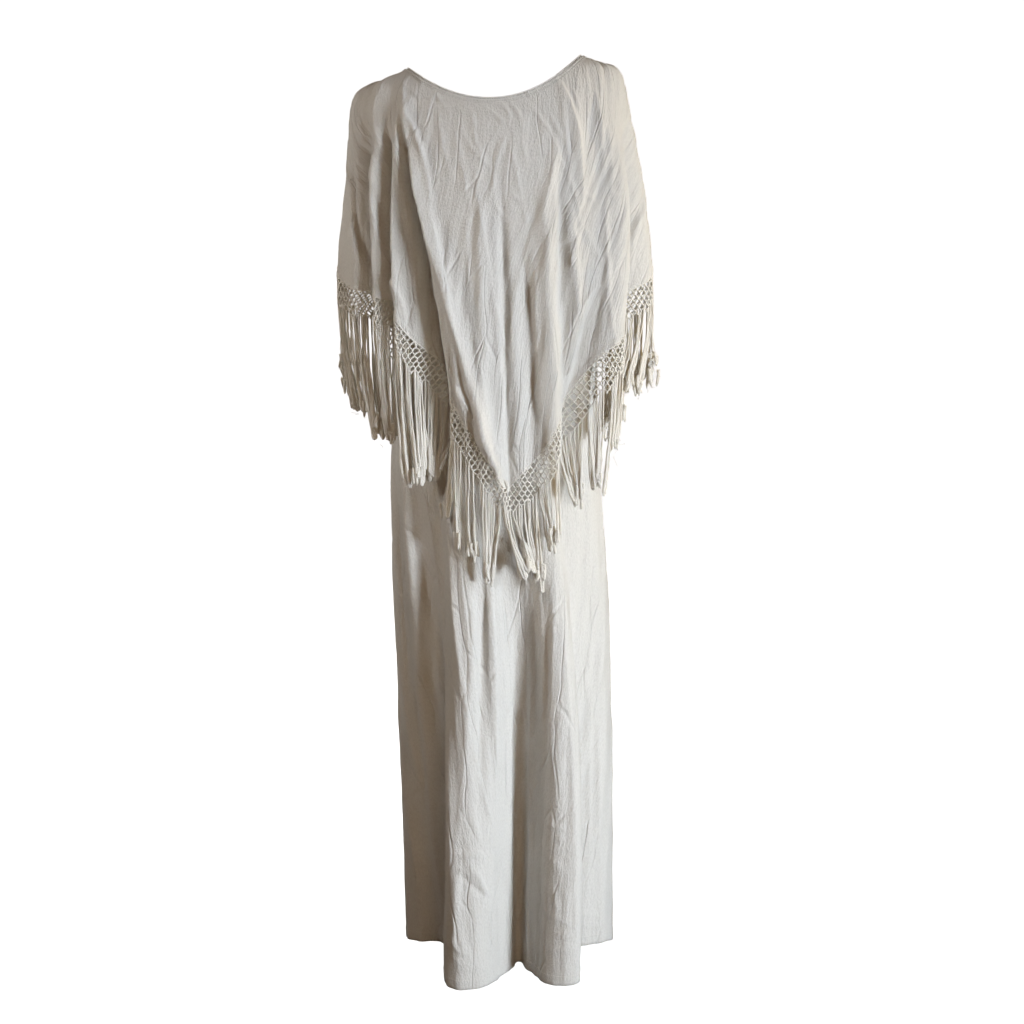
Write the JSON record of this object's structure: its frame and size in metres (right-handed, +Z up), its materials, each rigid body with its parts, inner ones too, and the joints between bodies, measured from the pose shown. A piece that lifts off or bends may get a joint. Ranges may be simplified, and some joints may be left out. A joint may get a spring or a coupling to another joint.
{
  "type": "fringe dress",
  "caption": "Long hollow gauze dress with a pointed poncho cape over it, edged with knotted net and long yarn fringe, filled out as when worn.",
  "frame": {"origin": "the middle of the neck opening, at the mean height of its two shoulder ends, where a wearer's shoulders or a hanger hold the dress", "axes": "+Z up, -Y towards the front of the dress, +X towards the shoulder that is held higher"},
  "size_m": [0.4705, 0.3103, 1.3832],
  "materials": {
    "cape_gauze": "matt crinkled off-white cotton gauze",
    "dress_gauze": "matt crinkled off-white cotton gauze",
    "binding_gauze": "matt off-white cotton gauze, folded and stitched",
    "yarn": "matt off-white soft twisted cotton yarn"
  },
  "bodies": {
    "root": {"neck_binding": "binding_gauze", "cape_front": "cape_gauze", "cape_back": "cape_gauze", "dress_front": "dress_gauze", "dress_back": "dress_gauze", "fringe_front": "yarn", "fringe_back": "yarn"}
  },
  "joints": []
}
